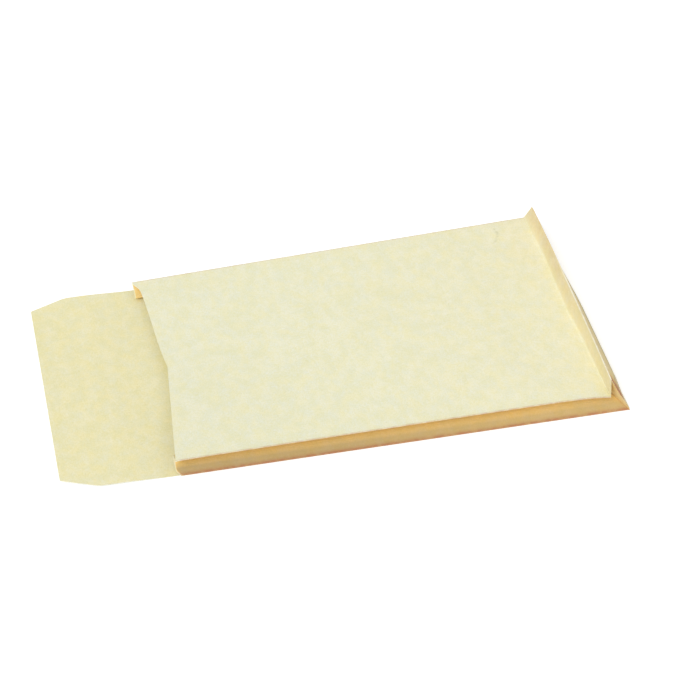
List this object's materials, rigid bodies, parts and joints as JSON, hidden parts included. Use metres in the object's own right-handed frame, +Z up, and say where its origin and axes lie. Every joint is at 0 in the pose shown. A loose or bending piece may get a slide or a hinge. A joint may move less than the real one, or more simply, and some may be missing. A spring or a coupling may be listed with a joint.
{
  "type": "gusseted envelope",
  "caption": "Open gusseted envelope lying on its back: flat flap, V-cut mouth, half-opened side gussets and a folded block bottom that stands up as a ridge.",
  "frame": {"origin": "under the middle of the open envelope, flap included, on the table that the back panel lies on", "axes": "+X along the envelope from the open flap to the folded bottom, +Y across it to the far side that stands lower at the mouth, +Z up out of the back panel"},
  "size_m": [0.4666, 0.2624, 0.0363],
  "materials": {
    "manila_paper": "matt uncoated cream manila with a fine fibre grain, golden brown in the folds"
  },
  "bodies": {
    "root": {"folded_sheet": "manila_paper"}
  },
  "joints": []
}
